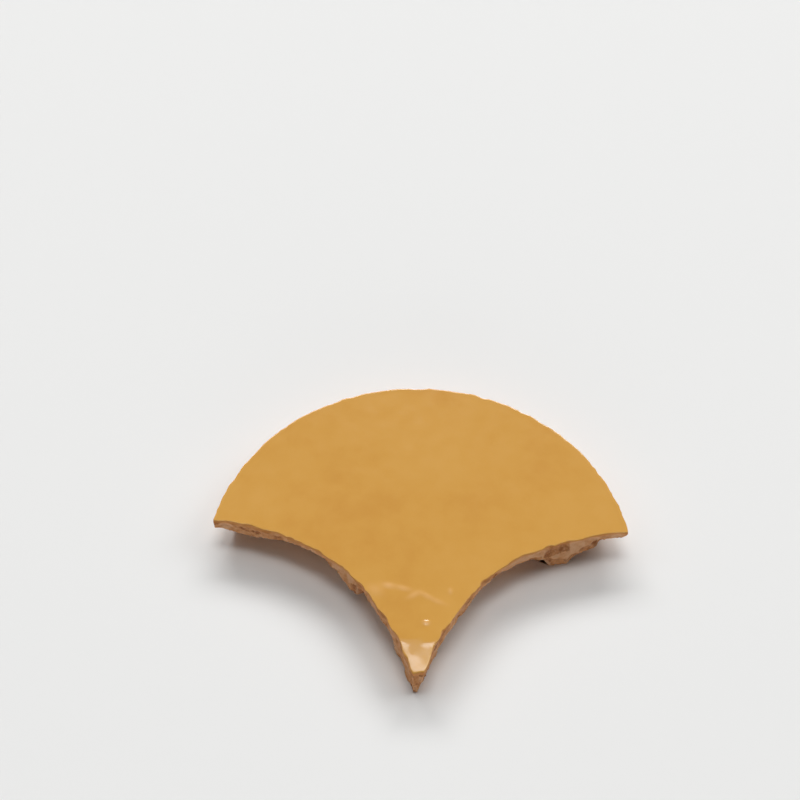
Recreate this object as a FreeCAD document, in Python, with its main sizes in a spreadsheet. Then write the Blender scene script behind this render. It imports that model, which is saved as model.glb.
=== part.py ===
import FreeCAD, Part
import math
import os

import Sketcher

# Fish scale tile: one piece of fired clay with a glazed face, cut to its outline by hand.
# Millimetres, +Z up. The tile lies on its back, glaze upwards, with its tip towards -Y.
# Its outline is three arcs: a round rim, and two bays that take the rims of the next row.

os.makedirs("parts", exist_ok=True)
doc = FreeCAD.newDocument("fish_scale_tile")

# The sheet: driving dimensions first, then the values that follow from them.
SIZES = [
    ("scale_radius", "60", "radius of the round rim"),
    ("joint_width", "1", "open joint between a rim and the bay that takes it"),
    ("rim_spacing", "4", "gap between the rims of two tiles side by side"),
    ("row_pitch", "53.6", "from one row to the next"),
    ("thickness", "11.5", "glazed face to back"),
    ("tip_trim", "5.5", "length of the straight cuts that sharpen the tip"),
    ("toe_reach", "41", "centre of the rim to the toe, the foot of the tip"),
    ("toe_width", "1.2", "width of the toe"),
    ("lip_depth", "4", "upright edge below the glaze, before the undercut starts"),
    ("rim_undercut", "4", "how far the back stands in from the rim"),
    ("bay_undercut", "6", "how far the back stands in from a bay"),
    ("chisel_width", "11", "width of one stroke of the chisel, about"),
    ("keel_length", "15", "toe to the place where the last stroke runs out"),
    ("lump_place", "19.5", "right-hand corner to a lump that no stroke took off, along the bay"),
    ("lump_width", "15", "width of its root, inside the lip"),
    ("lump_foot", "5", "width of its foot, on the floor"),
    ("lump_bulge", "0.9", "how far its foot stands out of the bay"),
    ("ledge_place", "9.5", "right-hand corner to a ledge, where the chisel stopped short"),
    ("ledge_width", "11", "width of its root"),
    ("ledge_foot", "6", "width of its foot"),
    ("ledge_depth", "6.5", "glazed face to its foot"),
    ("ledge_bulge", "0.4", "how far its foot stands out of the bay"),
    ("nib_place", "44.5", "left-hand corner to a nib, the ledge in the left-hand bay"),
    ("nib_width", "10", "width of its root"),
    ("nib_foot", "7", "width of its foot"),
    ("nib_depth", "8", "glazed face to its foot"),
    ("nib_bulge", "0.3", "how far its foot stands out of the bay"),
    ("root_depth", "0.6", "how far in these three start, inside the lip"),
    ("nose_lean", "1", "how far the glaze stops short of the toe"),
    ("droop_run", "9.5", "length of the tip where the glazed face bends down"),
    ("tip_droop", "1.5", "how far the face has dropped where the glaze ends"),
    ("droop_ease", "20", "radius of that bend"),
    ("arris_radius", "0.5", "rounded arris of the glaze"),
    ("bay_radius", "=scale_radius + joint_width", "a bay takes a rim and its joint"),
    ("bay_across", "=scale_radius + rim_spacing / 2", "centre of a bay, across from the rim's"),
    ("centre_spread", "=sqrt(bay_across ^ 2 + row_pitch ^ 2)", "from the one centre to the other"),
    ("centre_fall", "=atan(row_pitch / bay_across)", "how steeply that line falls"),
    ("trim_reach", "=toe_reach - tip_trim", "centre of the rim to the start of the straight cuts"),
    ("keel_reach", "=toe_reach - keel_length", "centre of the rim to the end of the last stroke"),
    ("lip_level", "=thickness - lip_depth", "height where the undercut starts"),
    ("rim_corner",
     "=acos((scale_radius ^ 2 + centre_spread ^ 2 - bay_radius ^ 2)"
     " / (2 * scale_radius * centre_spread)) - centre_fall",
     "direction of a corner, seen from the rim's centre"),
    ("rim_sweep", "=180deg - 2 * rim_corner", "the rim, from corner to corner"),
    ("rim_strokes", "=round(rim_sweep / 1rad * scale_radius / chisel_width) + 1",
     "strokes along the rim, the first and last of them centred on the corners"),
    ("rim_pitch", "=rim_sweep / (rim_strokes - 1)", "from one of these strokes to the next"),
    ("rim_first", "=rim_corner - rim_pitch / 2", "where the first one starts"),
    ("rim_flare", "=rim_undercut * lip_depth / lip_level", "slope of a stroke, carried on up to the face"),
    ("rim_foot", "=(scale_radius - rim_undercut) / cos(rim_pitch / 2)", "corners of the back, along the rim"),
    ("rim_head", "=(scale_radius + rim_flare) / cos(rim_pitch / 2)", "the same corners, up at the face"),
    ("rim_clear", "=scale_radius + 2 * rim_undercut", "where these strokes are clear of the clay"),
    ("bay_corner",
     "=180deg - centre_fall - acos((bay_radius ^ 2 + centre_spread ^ 2 - scale_radius ^ 2)"
     " / (2 * bay_radius * centre_spread))",
     "direction of a corner, seen from the bay's centre"),
    ("bay_end", "=180deg - asin((row_pitch - keel_reach) / bay_radius)",
     "direction of the last stroke's end"),
    ("bay_strokes", "=round((bay_end - bay_corner) / 1rad * bay_radius / chisel_width - 0.5)",
     "full strokes along a bay, the first of them centred on the corner"),
    ("bay_pitch", "=(bay_end - bay_corner) / (bay_strokes + 0.5)", "from one of these strokes to the next"),
    ("bay_first", "=bay_corner - bay_pitch / 2", "where the first one starts"),
    ("bay_sweep", "=bay_pitch * (bay_strokes - 1)", "from the first one to the last"),
    ("last_first", "=bay_end - bay_pitch", "where the stroke that runs out starts"),
    ("bay_flare", "=bay_undercut * lip_depth / lip_level", "slope of a stroke, carried on up to the face"),
    ("bay_foot", "=bay_radius + bay_undercut", "corners of the back, along a bay"),
    ("bay_head", "=bay_radius - bay_flare", "the same corners, up at the face"),
    ("bay_clear", "=bay_radius - 2 * bay_undercut", "where these strokes are clear of the clay"),
    ("glaze_reach", "=toe_reach - nose_lean", "centre of the rim to the end of the glaze"),
    ("bend_reach", "=glaze_reach - droop_run", "centre of the rim to the bend in the face"),
    ("droop_level", "=thickness - tip_droop", "height of the face where the glaze ends"),
    ("clear_reach", "=toe_reach + nose_lean", "where the cut that shapes the tip ends, in front of it"),
    ("clear_level", "=thickness + tip_droop", "where that cut ends, over the face"),
    ("lump_depth", "=thickness", "glazed face to the lump's foot"),
    ("root_level", "=thickness - lip_depth / 2", "height of the three roots"),
    ("root_reach", "=bay_radius + root_depth", "the roots' corners, seen from the bay's centre"),
    ("spared_back", "=bay_radius + 2 * bay_undercut", "where the spared clay is back in the body"),
    ("middle_y", "=(scale_radius - toe_reach) / 2", "middle of the outline's length"),
]

# Clay that the chisel spared, each with the direction of its middle, seen from its bay's centre.
SPARED = {
    "lump": "=bay_corner + lump_place / bay_radius * 1rad",
    "ledge": "=bay_corner + ledge_place / bay_radius * 1rad",
    "nib": "=180deg - bay_corner - nib_place / bay_radius * 1rad",
}
for name, turn in SPARED.items():
    SIZES += [
        (f"{name}_turn", turn, "direction of its middle"),
        (f"{name}_root_pitch", f"={name}_width / bay_radius * 1rad", "its root, from side to side"),
        (f"{name}_root_first", f"={name}_turn - {name}_root_pitch / 2", "where its root starts"),
        (f"{name}_foot_pitch", f"={name}_foot / bay_radius * 1rad", "its foot, from side to side"),
        (f"{name}_foot_first", f"={name}_turn - {name}_foot_pitch / 2", "where its foot starts"),
        (f"{name}_foot_level", f"=thickness - {name}_depth", "height of its foot"),
        (f"{name}_foot_reach", f"=bay_radius - {name}_bulge", "its foot's corners"),
    ]

sizes = doc.addObject("Spreadsheet::Sheet", "Sizes")
for row, (alias, value, meaning) in enumerate(SIZES, start=1):
    sizes.set(f"A{row}", alias)
    sizes.set(f"B{row}", value)
    sizes.set(f"C{row}", meaning)
    sizes.setAlias(f"B{row}", alias)
doc.recompute()


def size(alias):
    """The value of one cell of the sheet, as a plain number: millimetres, degrees or a count."""
    return float(sizes.get(alias))


def point(across, along):
    return FreeCAD.Vector(across, along, 0)


def mirrored(spot):
    return point(-spot.x, spot.y)


def polar(reach, degrees):
    return point(reach * math.cos(math.radians(degrees)), reach * math.sin(math.radians(degrees)))


def arc(centre, radius, first, last):
    """The arc from one point to another, counter-clockwise about its centre."""
    start = math.atan2(first.y - centre.y, first.x - centre.x)
    end = math.atan2(last.y - centre.y, last.x - centre.x)
    circle = Part.Circle(centre, FreeCAD.Vector(0, 0, 1), radius)
    return Part.ArcOfCircle(circle, start, end)


START, END, CENTRE = range(1, 4)
ACROSS, UPRIGHT = -1, -2
ORIGIN = (ACROSS, START)
FACING_UP = 0.5


def new_sketch(name, role):
    """A sketch on one of the tile's own origin planes."""
    sketch = tile.newObject("Sketcher::SketchObject", name)
    sketch.AttachmentSupport = [(origin[role], "")]
    sketch.MapMode = "FlatFace"
    return sketch


def join(sketch, *corners):
    """Make ends of lines meet: each corner is an element and its end, twice."""
    for corner in corners:
        sketch.addConstraint(Sketcher.Constraint("Coincident", *corner))


def bind(sketch, kind, places, name, alias):
    """Add one dimension to a sketch and tie it to a cell of the sheet."""
    value = math.radians(size(alias)) if kind == "Angle" else size(alias)
    index = sketch.addConstraint(Sketcher.Constraint(kind, *places, value))
    sketch.renameConstraint(index, name)
    sketch.setExpression(f"Constraints.{name}", f"Sizes.{alias}")


def feature(kind, name, cells=(), **properties):
    """The tile's next feature. The cells are pairs of a property and the size that it follows."""
    added = tile.newObject(f"PartDesign::{kind}", name)
    for key, value in properties.items():
        setattr(added, key, value)
    for key, alias in cells:
        added.setExpression(key, f"Sizes.{alias}")
    tile.Tip = added
    return added


tile = doc.addObject("PartDesign::Body", "scale_tile")
tile.Label = "scale_tile"
origin = {item.Role: item for item in tile.Origin.OriginFeatures}
MIRROR = (origin["YZ_Plane"], [""])

# The outline: the rim's arc, then a bay and a straight cut on each side, and the blunt toe.
bay_centre = point(size("bay_across"), -size("row_pitch"))
corner = polar(size("scale_radius"), size("rim_corner"))
shoulder_rise = size("row_pitch") - size("trim_reach")
shoulder_in = math.sqrt(size("bay_radius") ** 2 - shoulder_rise ** 2)
shoulder = point(size("bay_across") - shoulder_in, -size("trim_reach"))
toe = point(size("toe_width") / 2, -size("toe_reach"))
outline = new_sketch("Outline", "XY_Plane")
outline.addGeometry([
    arc(point(0, 0), size("scale_radius"), corner, mirrored(corner)),
    arc(bay_centre, size("bay_radius"), corner, shoulder),
    Part.LineSegment(shoulder, toe),
    Part.LineSegment(toe, mirrored(toe)),
    Part.LineSegment(mirrored(toe), mirrored(shoulder)),
    arc(mirrored(bay_centre), size("bay_radius"), mirrored(shoulder), mirrored(corner)),
])
RIM, BAY, CUT, TOE, LEFT_CUT, LEFT_BAY = range(6)
join(
    outline,
    (RIM, CENTRE, *ORIGIN), (RIM, START, BAY, START), (BAY, END, CUT, START), (CUT, END, TOE, START),
    (TOE, END, LEFT_CUT, START), (LEFT_CUT, END, LEFT_BAY, START), (LEFT_BAY, END, RIM, END),
)
for pair in [(TOE, START, TOE, END), (CUT, START, LEFT_CUT, END), (BAY, CENTRE, LEFT_BAY, CENTRE)]:
    outline.addConstraint(Sketcher.Constraint("Symmetric", *pair, UPRIGHT))
bind(outline, "Radius", (RIM,), "rim", "scale_radius")
bind(outline, "Radius", (BAY,), "bay", "bay_radius")
bind(outline, "DistanceX", (*ORIGIN, BAY, CENTRE), "bay_across", "bay_across")
bind(outline, "DistanceY", (BAY, CENTRE, *ORIGIN), "bay_down", "row_pitch")
bind(outline, "DistanceY", (CUT, START, *ORIGIN), "trim", "trim_reach")
bind(outline, "DistanceY", (TOE, START, *ORIGIN), "toe_down", "toe_reach")
bind(outline, "DistanceX", (TOE, END, TOE, START), "toe", "toe_width")

# The glaze is struck off along this outline, through the whole thickness of the clay.
feature("Pad", "Blank", [("Length", "thickness")], Profile=outline)


def sector(name, level, centre, first, pitch, inner, outer):
    """The outline of a stroke at one level: the sector between two rays from an arc's centre, cut
    off straight. Inner and outer are how far out its corners lie on the two rays."""
    sketch = new_sketch(name, "XY_Plane")
    for axis, cell in zip("xyz", (*centre, level)):
        if cell:
            sketch.setExpression(f"AttachmentOffset.Base.{axis}", cell)
    sketch.setExpression("AttachmentOffset.Rotation.Angle", f"Sizes.{first}")
    near = [polar(size(inner[0]), 0), polar(size(inner[1]), size(pitch))]
    far = [polar(size(outer[0]), 0), polar(size(outer[1]), size(pitch))]
    sketch.addGeometry([
        Part.LineSegment(near[0], far[0]),
        Part.LineSegment(far[0], far[1]),
        Part.LineSegment(near[1], far[1]),
        Part.LineSegment(near[0], near[1]),
    ])
    FIRST, FAR, LAST, NEAR = range(4)
    join(sketch, (FIRST, END, FAR, START), (FAR, END, LAST, END), (LAST, START, NEAR, END),
         (NEAR, START, FIRST, START))
    sketch.addConstraint(Sketcher.Constraint("PointOnObject", FIRST, START, ACROSS))
    sketch.addConstraint(Sketcher.Constraint("PointOnObject", FIRST, END, ACROSS))
    sketch.addConstraint(Sketcher.Constraint("PointOnObject", *ORIGIN, LAST))
    bind(sketch, "Angle", (LAST,), "pitch", pitch)
    bind(sketch, "DistanceX", (*ORIGIN, FIRST, START), "first_inner", inner[0])
    bind(sketch, "DistanceX", (*ORIGIN, FIRST, END), "first_outer", outer[0])
    bind(sketch, "Distance", (*ORIGIN, LAST, START), "last_inner", inner[1])
    bind(sketch, "Distance", (*ORIGIN, LAST, END), "last_outer", outer[1])
    return sketch


def stroke(name, place, foot, head):
    """Chisel one facet away, between its outline at the back and the one up at the face."""
    lower = sector(f"{name}Foot", None, **place, **foot)
    upper = sector(f"{name}Head", "Sizes.thickness", **place, **head)
    return feature("SubtractiveLoft", name, Profile=lower, Sections=[(upper, [""])], Ruled=True)


# The undercut: strokes of the chisel from the back, so that the glazed arrises can meet.
rim_stroke = stroke(
    "RimStroke", dict(centre=(None, None), first="rim_first", pitch="rim_pitch"),
    foot=dict(inner=("rim_foot", "rim_foot"), outer=("rim_clear", "rim_clear")),
    head=dict(inner=("rim_head", "rim_head"), outer=("rim_clear", "rim_clear")),
)
feature(
    "PolarPattern", "RimStrokes", [("Angle", "rim_sweep"), ("Occurrences", "rim_strokes")],
    Originals=[rim_stroke], Axis=(rim_stroke.Profile[0], ["N_Axis"]),
)
BAY_PLACE = dict(centre=("Sizes.bay_across", "-Sizes.row_pitch"), pitch="bay_pitch")
BAY_HEAD = dict(inner=("bay_clear", "bay_clear"), outer=("bay_head", "bay_head"))
bay_stroke = stroke(
    "BayStroke", dict(BAY_PLACE, first="bay_first"), head=BAY_HEAD,
    foot=dict(inner=("bay_clear", "bay_clear"), outer=("bay_foot", "bay_foot")),
)
both_bays = feature("MultiTransform", "BayStrokes", Originals=[bay_stroke])
both_bays.Transformations = [
    feature("PolarPattern", "AlongBay", [("Angle", "bay_sweep"), ("Occurrences", "bay_strokes")],
            Axis=(bay_stroke.Profile[0], ["N_Axis"])),
    feature("Mirrored", "OtherBay", MirrorPlane=MIRROR),
]
tile.Tip = both_bays

# The keel: near the tip the last stroke runs out, and the clay stays whole to carry the tip.
last_stroke = stroke(
    "LastStroke", dict(BAY_PLACE, first="last_first"), head=BAY_HEAD,
    foot=dict(inner=("bay_clear", "bay_clear"), outer=("bay_foot", "bay_head")),
)
feature("Mirrored", "LastStrokes", Originals=[last_stroke], MirrorPlane=MIRROR)



def spared(name, centre):
    """Put back a lump or a ledge: the clay from its root inside the lip down to its foot."""
    outlines = [
        sector(
            f"{name.title()}{end.title()}", f"Sizes.{level}", centre, f"{name}_{end}_first",
            f"{name}_{end}_pitch", inner=(reach, reach), outer=("spared_back", "spared_back"),
        )
        for end, level, reach in [
            ("root", "root_level", "root_reach"),
            ("foot", f"{name}_foot_level", f"{name}_foot_reach"),
        ]
    ]
    root, foot = outlines
    feature("AdditiveLoft", name.title(), Profile=root, Sections=[(foot, [""])], Ruled=True)


# Where the chisel missed or stopped short, clay is left under the lip of a bay.
spared("lump", BAY_PLACE["centre"])
spared("ledge", BAY_PLACE["centre"])
spared("nib", ("-Sizes.bay_across", "-Sizes.row_pitch"))

# The tip, from the side: the face droops to the end of the glaze, and a facet falls to the toe.
slope = math.atan2(size("tip_droop"), size("droop_run"))
tangent = size("droop_ease") * math.tan(slope / 2)
bend = point(-size("bend_reach"), size("thickness"))
glaze_end = point(-size("glaze_reach"), size("droop_level"))
level_end = point(bend.x + tangent, bend.y)
slope_start = point(bend.x - tangent * math.cos(slope), bend.y - tangent * math.sin(slope))
toe_end = point(-size("toe_reach"), 0)
in_front = point(-size("clear_reach"), 0)
above = point(in_front.x, size("clear_level"))
lead_in = point(level_end.x, above.y)
ease_centre = point(level_end.x, bend.y - size("droop_ease"))

profile = new_sketch("TipProfile", "YZ_Plane")
profile.addGeometry([
    arc(ease_centre, size("droop_ease"), level_end, slope_start),
    Part.LineSegment(slope_start, glaze_end),
    Part.LineSegment(glaze_end, toe_end),
    Part.LineSegment(toe_end, in_front),
    Part.LineSegment(in_front, above),
    Part.LineSegment(above, lead_in),
    Part.LineSegment(lead_in, level_end),
])
profile.addGeometry(Part.Point(bend), True)
EASE, SLOPE, FACET, FLOOR, FRONT, TOP, LEAD_IN, BEND = range(8)
join(profile, (SLOPE, END, FACET, START), (FACET, END, FLOOR, START), (FLOOR, END, FRONT, START),
     (FRONT, END, TOP, START), (TOP, END, LEAD_IN, START), (LEAD_IN, END, EASE, START))
for kind, *places in [
    ("Tangent", EASE, END, SLOPE, START), ("PointOnObject", BEND, START, SLOPE),
    ("Vertical", EASE, CENTRE, EASE, START), ("PointOnObject", FACET, END, ACROSS),
    ("Horizontal", FLOOR), ("Vertical", FRONT), ("Horizontal", TOP), ("Vertical", LEAD_IN),
]:
    profile.addConstraint(Sketcher.Constraint(kind, *places))
bind(profile, "Radius", (EASE,), "ease", "droop_ease")
bind(profile, "DistanceY", (*ORIGIN, EASE, START), "face_up", "thickness")
bind(profile, "DistanceY", (*ORIGIN, BEND, START), "bend_up", "thickness")
bind(profile, "DistanceX", (BEND, START, *ORIGIN), "bend_along", "bend_reach")
bind(profile, "DistanceY", (*ORIGIN, SLOPE, END), "glaze_up", "droop_level")
bind(profile, "DistanceX", (SLOPE, END, *ORIGIN), "glaze_along", "glaze_reach")
bind(profile, "DistanceX", (FACET, END, *ORIGIN), "toe_along", "toe_reach")
bind(profile, "DistanceX", (FRONT, START, *ORIGIN), "front_along", "clear_reach")
bind(profile, "DistanceY", (*ORIGIN, FRONT, END), "top_up", "clear_level")
doc.recompute()

uncut_volume = tile.Shape.Volume
tip = feature("Pocket", "Tip", Profile=profile, Type="ThroughAll", Midplane=True)
doc.recompute()
if tip.Shape.Volume >= uncut_volume:
    raise RuntimeError("the cut that shapes the tip misses it")


def faces_up(face):
    u_low, u_high, v_low, v_high = face.ParameterRange
    return face.normalAt((u_low + u_high) / 2, (v_low + v_high) / 2).z > FACING_UP


# The arris: molten glaze draws back from the edge and leaves it slightly round.
glazed = [face for face in tip.Shape.Faces if faces_up(face)]
arrises = []
for number, edge in enumerate(tip.Shape.Edges, start=1):
    glazed_sides = [face for face in glazed if any(edge.isSame(other) for other in face.Edges)]
    if len(glazed_sides) == 1:
        arrises.append(f"Edge{number}")
feature("Fillet", "Arris", [("Radius", "arris_radius")], Base=(tip, arrises))

# The tile's origin is under the middle of its outline, on the floor that it lies on.
tile.setExpression("Placement.Base.y", "-Sizes.middle_y")
doc.recompute()

for item in doc.Objects:
    if {"Invalid", "Error"} & set(item.State):
        raise RuntimeError(f"{item.Name} failed: {item.State}")
shape = tile.Shape
if shape.isNull() or not shape.isValid() or len(shape.Solids) != 1:
    raise RuntimeError("the tile isn't one valid solid")

box = shape.optimalBoundingBox(False)
print(f"{tile.Label}: {box.XLength:.1f} x {box.YLength:.1f} x {box.ZLength:.1f} mm")
print(f"volume {shape.Volume:.0f} mm3, {len(shape.Faces)} faces")
print(f"{size('rim_strokes'):.0f} strokes along the rim, {size('bay_strokes') + 1:.0f} along each bay")
shape.exportStep(f"parts/{tile.Label}.step")
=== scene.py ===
# %% [markdown]
# A fish scale tile, hand cut from glazed terracotta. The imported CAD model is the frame: it fixes
# the tile's size, its place on the floor and its outline. This script dresses it: the wavy glazed
# face, the nibbled arris, the chiselled clay under it, and the light of the photograph.

# %% Load the frame
import math

import bpy
import numpy as np
from mathutils import Matrix, Vector


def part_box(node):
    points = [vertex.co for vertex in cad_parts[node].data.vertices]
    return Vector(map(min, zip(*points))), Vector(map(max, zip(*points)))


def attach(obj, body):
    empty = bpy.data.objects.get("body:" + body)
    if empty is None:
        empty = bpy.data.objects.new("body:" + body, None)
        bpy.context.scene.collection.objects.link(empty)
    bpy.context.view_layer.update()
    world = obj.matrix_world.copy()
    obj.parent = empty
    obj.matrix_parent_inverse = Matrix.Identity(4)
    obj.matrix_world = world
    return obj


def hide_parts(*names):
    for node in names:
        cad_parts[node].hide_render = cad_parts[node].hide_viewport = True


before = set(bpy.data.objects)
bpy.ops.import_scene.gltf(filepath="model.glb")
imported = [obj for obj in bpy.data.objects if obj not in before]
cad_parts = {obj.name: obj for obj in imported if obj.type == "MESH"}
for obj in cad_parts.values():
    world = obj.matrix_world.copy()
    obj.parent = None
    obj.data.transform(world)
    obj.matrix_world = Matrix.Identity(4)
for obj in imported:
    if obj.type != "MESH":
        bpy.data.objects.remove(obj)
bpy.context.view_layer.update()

MM = 0.001
node_low, node_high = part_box("scale_tile")

# %% [markdown]
# The outline is three arcs and a narrow tip. A reader could trace it point by point, but the real
# tile was drawn with a compass, so here too it comes from a few radii. All shapes are worked out
# in millimetres about the centre of the round rim, and moved to the frame at the very end.

# %% The tile's sizes, in millimetres
RIM_RADIUS = 60.0
BAY_RADIUS = 61.0
BAY_ACROSS = 62.0             # from the rim's centre sideways to a bay's
ROW_PITCH = 53.6              # from the rim's centre forward to a bay's
TRIM_LENGTH = 5.5             # how much of the reach the straight cuts take
GLAZE_END_WIDTH = 2.9
TOE_WIDTH = 1.9
NOSE_LEAN = 1.0               # how far the toe stands out past the glaze
NOSE_SWAY = 0.7               # how far the toe stands to the left of the glaze's end

THICKNESS = (node_high.z - node_low.z) / MM
RIM_CENTRE_Y = node_high.y / MM - RIM_RADIUS
TOE_REACH = RIM_CENTRE_Y - node_low.y / MM
GLAZE_REACH = TOE_REACH - NOSE_LEAN
SPREAD = math.hypot(BAY_ACROSS, ROW_PITCH)
FALL = math.atan2(ROW_PITCH, BAY_ACROSS)
print(f"thickness {THICKNESS:.1f} mm, rim centre at y {RIM_CENTRE_Y:.1f}, toe at {TOE_REACH:.1f} from it")

# %% [markdown]
# The outline is walked once, anticlockwise from the right-hand corner: rim, left bay, left cut,
# blunt end, right cut, right bay. Every level of the tile, from the face down to the back, is
# the same walk with other radii, so all levels have the same stations and join into one skin.

# %% Stations round the outline
STATIONS = {"rim": 340, "left_bay": 220, "left_cut": 24, "end": 10, "right_cut": 24, "right_bay": 220}
shares = {name: np.arange(count) / count for name, count in STATIONS.items()}
segment = np.repeat(list(STATIONS), list(STATIONS.values()))
station_count = len(segment)
bay_share = np.zeros(station_count)
bay_share[segment == "left_bay"] = shares["left_bay"]
bay_share[segment == "right_bay"] = 1 - shares["right_bay"]
print(f"{station_count} stations, the same on every level")

# %% [markdown]
# A level below the face has a smaller rim and wider bays, because the clay is cut back under the
# glaze. Towards the tip that cut runs out. A cubic S does this fading, and all the others in this
# script: it starts and stops gently, so no edge shows where it begins.

# %% The curve of one level
UNDERCUT_FADE = (0.66, 0.84)


def smooth(value, low, high):
    """0 below low, 1 above high, and a cubic S between them: t^2 (3 - 2 t)."""
    t = np.clip((value - low) / (high - low), 0.0, 1.0)
    return t * t * (3 - 2 * t)


def bay_fade(share):
    """How much of a bay's inset is left: all of it near the corner, none of it near the tip."""
    return 1 - smooth(share, *UNDERCUT_FADE)


def level_curve(rim_inset, bay_inset, reach, width):
    """The outline with its rim and bays drawn in: two circles and straight cuts.

    The corner is where the rim's circle meets a bay's, by the law of cosines. A bay's inset
    fades out towards the tip. Each argument is a column, one value for each level; the result
    is x and y with a row for each level and a column for each station."""
    rim = RIM_RADIUS - rim_inset
    bay = BAY_RADIUS + bay_inset
    rim_start = np.arccos((rim**2 + SPREAD**2 - bay**2) / (2 * rim * SPREAD)) - FALL
    bay_start = np.pi - FALL - np.arccos((bay**2 + SPREAD**2 - rim**2) / (2 * bay * SPREAD))
    bay_stop = np.pi - np.arcsin((ROW_PITCH - (reach - TRIM_LENGTH)) / BAY_RADIUS)

    def bay_side(share):
        turn = bay_start + (bay_stop - bay_start) * share
        radius = BAY_RADIUS + bay_inset * bay_fade(share)
        return BAY_ACROSS + radius * np.cos(turn), radius * np.sin(turn) - ROW_PITCH

    shoulder_x, shoulder_y = bay_side(np.ones_like(rim))

    def cut_side(share):
        return shoulder_x + (width / 2 - shoulder_x) * share, shoulder_y + (-reach - shoulder_y) * share

    angle = rim_start + (np.pi - 2 * rim_start) * shares["rim"]
    rim_x, rim_y = rim * np.cos(angle), rim * np.sin(angle)
    left_bay_x, left_bay_y = bay_side(shares["left_bay"])
    left_cut_x, left_cut_y = cut_side(shares["left_cut"])
    end_x = width * (shares["end"] - 0.5)
    end_y = np.broadcast_to(-reach, end_x.shape)
    right_cut_x, right_cut_y = cut_side(1 - shares["right_cut"])
    right_bay_x, right_bay_y = bay_side(1 - shares["right_bay"])
    x = np.concatenate([rim_x, -left_bay_x, -left_cut_x, end_x, right_cut_x, right_bay_x], axis=1)
    y = np.concatenate([rim_y, left_bay_y, left_cut_y, end_y, right_cut_y, right_bay_y], axis=1)
    return x, y


def column(value):
    """One value as a column of one row, for a single level."""
    return np.array([[float(value)]])


edge_x, edge_y = level_curve(column(0), column(0), column(GLAZE_REACH), column(GLAZE_END_WIDTH))
edge = np.stack([edge_x[0], edge_y[0]], axis=1)
steps = np.linalg.norm(np.roll(edge, -1, axis=0) - edge, axis=1)
along = np.concatenate([[0.0], np.cumsum(steps)[:-1]])
girth = steps.sum()
rim_length = along[STATIONS["rim"]]
print(f"the glazed edge: {girth:.0f} mm round, {2 * np.abs(edge[:, 0]).max():.1f} mm across")

# %% [markdown]
# Hand work is never quite random: it wanders slowly and it is rough close up. Both come from one
# recipe, a sum of waves with seeded directions and phases. It takes whole arrays at once, and it
# gives the same clay on every run. Broken clay is the same noise, folded into creases.

# %% Noise from waves
WAVES = 28
PACE_SPREAD = (0.6, 1.4)
WAVE_PEAK = 1.6
CREASE_GAIN = 2.0
CREASE_LEVEL = 0.8
SEEDS = {"nibbles": 11, "strokes": 23, "lip": 24, "flakes": 67, "splinters": 6, "grains": 7,
         "face_swell": 31, "face_ripple": 32, "bend": 33, "arris": 41, "back": 51}


def waves(points, length, seed):
    """Smooth noise about zero, mostly within one: a sum of cosine waves in random directions.

    Each wave is cos(p . k + phase), with |k| spread about 2 pi / length."""
    generator = np.random.default_rng(seed)
    size = points.shape[-1]
    direction = generator.normal(size=(WAVES, size))
    direction /= np.linalg.norm(direction, axis=1, keepdims=True)
    pace = 2 * np.pi / length * generator.uniform(*PACE_SPREAD, (WAVES, 1))
    phase = generator.uniform(0, 2 * np.pi, WAVES)
    total = np.zeros(points.shape[:-1])
    for number in range(WAVES):
        total += np.cos(points @ (direction[number] * pace[number]) + phase[number])
    return total * math.sqrt(2 / WAVES) / WAVE_PEAK


def creased(points, length, seed):
    """Broken-clay noise: gain * |smooth noise| - level, which folds it into sharp creases."""
    return np.abs(waves(points, length, seed)) * CREASE_GAIN - CREASE_LEVEL


print(f"{WAVES} waves in each noise, {len(SEEDS)} seeds")

# %% [markdown]
# The cutter's hand left the compass lines here and there. Each push moves the clay about one
# place by a small step and fades out round it, so the face, the arris and the flank under it all
# move together and nothing tears.

# %% The pushes of the hand
PUSHES = [
    # where (x, y), how far (x, y), how wide
    ((59.5, 7.3), (0.3, 0.7), 9.0),
    ((-59.5, 7.3), (-0.7, 0.65), 9.0),
    ((24.0, -6.0), (-0.5, 0.6), 9.0),
    ((43.0, 4.5), (0.0, -0.35), 8.0),
    ((-10.5, -21.0), (-0.75, -0.2), 6.0),
    ((4.5, -33.0), (-0.95, 0.0), 4.0),
]


def hand_cut(x, y):
    """Add every push, faded as a bell curve exp(-distance^2 / (2 width^2))."""
    new_x, new_y = x.copy(), y.copy()
    for (at_x, at_y), (step_x, step_y), width in PUSHES:
        bell = np.exp(-((x - at_x) ** 2 + (y - at_y) ** 2) / (2 * width**2))
        new_x += step_x * bell
        new_y += step_y * bell
    return new_x, new_y


longest_push = max(math.hypot(*step) for _, step, _ in PUSHES)
print(f"{len(PUSHES)} pushes of up to {longest_push:.2f} mm")

# %% [markdown]
# When the glaze is struck off along a scored line, tiny flakes leave the arris. Each nibble is a
# round bite: half an ellipse in plan, a millimetre or so long and a few tenths deep, which runs
# out down the lip. Where bites overlap, the deeper one shows. Four larger chips have places.

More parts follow.
